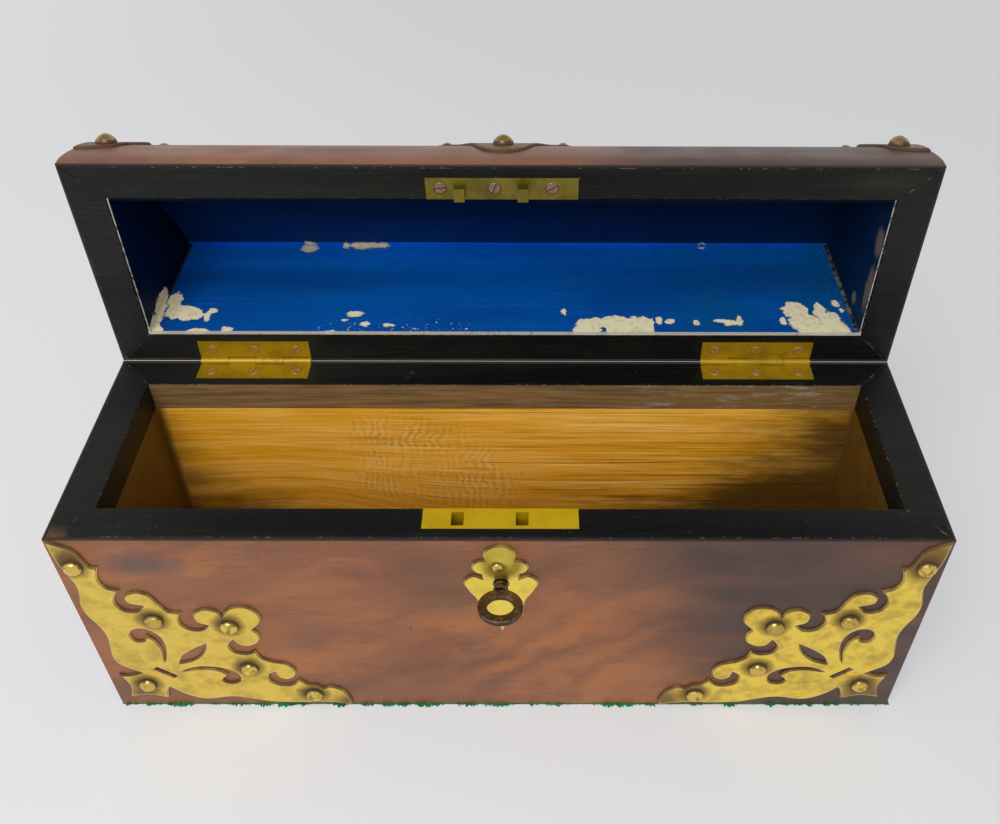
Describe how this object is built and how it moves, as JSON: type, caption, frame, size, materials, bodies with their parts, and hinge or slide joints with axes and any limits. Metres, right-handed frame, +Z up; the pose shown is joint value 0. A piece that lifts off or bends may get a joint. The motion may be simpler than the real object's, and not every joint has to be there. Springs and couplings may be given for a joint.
{
  "type": "lidded wooden box",
  "caption": "Long walnut box on a baize base with a rounded hinged lid, black rims, brass strapwork on the corners, a lock and a key.",
  "frame": {"origin": "centre of the body's underside, on the surface it rests on", "axes": "+X to the right along the length, +Y to the back, +Z up; the lid stands open behind the body"},
  "size_m": [0.29, 0.168, 0.1838],
  "materials": {
    "birch": "satin",
    "ebony": "semi-gloss",
    "walnut": "semi-gloss",
    "baize": "matte",
    "silk": "satin",
    "key_iron": "worn",
    "worn_brass": "tarnished",
    "brass": "aged"
  },
  "bodies": {
    "case": {"front_board": "birch", "back_board": "birch", "left_board": "birch", "right_board": "birch", "bottom_board": "birch", "rim_front": "ebony", "rim_back": "ebony", "rim_left": "ebony", "rim_right": "ebony", "veneer_front": "walnut", "veneer_back": "walnut", "veneer_left": "walnut", "veneer_right": "walnut", "base_baize": "baize", "hinge_left_body_leaf": "brass", "hinge_left_pin": "brass", "hinge_right_body_leaf": "brass", "hinge_right_pin": "brass", "body_hinge_screws": "worn_brass", "lock_plate": "brass", "lock_case": "worn_brass", "lock_cap": "worn_brass", "lock_spring": "worn_brass", "lock_drill_pin": "key_iron", "lock_screws": "worn_brass", "escutcheon": "brass", "escutcheon_pin": "brass", "front_mount_left": "brass", "front_mount_right": "brass", "front_studs": "brass"},
    "lid": {"lid_back_board": "birch", "lid_left_cheek": "birch", "lid_right_cheek": "birch", "lid_curved_front": "birch", "lid_rim_front": "ebony", "lid_rim_back": "ebony", "lid_rim_left": "ebony", "lid_rim_right": "ebony", "lid_veneer_top": "walnut", "lid_veneer_back": "walnut", "lid_veneer_left": "walnut", "lid_veneer_right": "walnut", "lining_vault": "silk", "lining_back": "silk", "lining_left": "silk", "lining_right": "silk", "hinge_left_lid_leaf": "brass", "hinge_right_lid_leaf": "brass", "lid_hinge_screws": "worn_brass", "link_plate": "brass", "link_screws": "worn_brass", "lid_mount_left": "brass", "lid_mount_centre": "brass", "lid_mount_right": "brass", "lid_studs": "brass", "lid_small_studs": "brass"},
    "key": {"key_shaft": "key_iron", "key_bow": "key_iron"},
    "lock_bolt": {"lock_bolt": "worn_brass"}
  },
  "joints": [
    {"name": "lid_hinge", "type": "hinge", "parent": "case", "child": "lid", "pos_m": [0, 0.0425, 0.0988], "axis": [1, 0, 0], "range_deg": [0, 90]},
    {"name": "key_turn", "type": "hinge", "parent": "case", "child": "key", "pos_m": [0, -0.0425, 0.0772], "axis": [0, -1, 0], "range_deg": [0, 180]},
    {"name": "bolt_slide", "type": "slide", "parent": "case", "child": "lock_bolt", "axis": [-1, 0, 0], "range_m": [0, 0.005]}
  ],
  "couplings": [
    {"joint": "key_turn", "follows": "bolt_slide", "rad_per_m": 628.32}
  ]
}
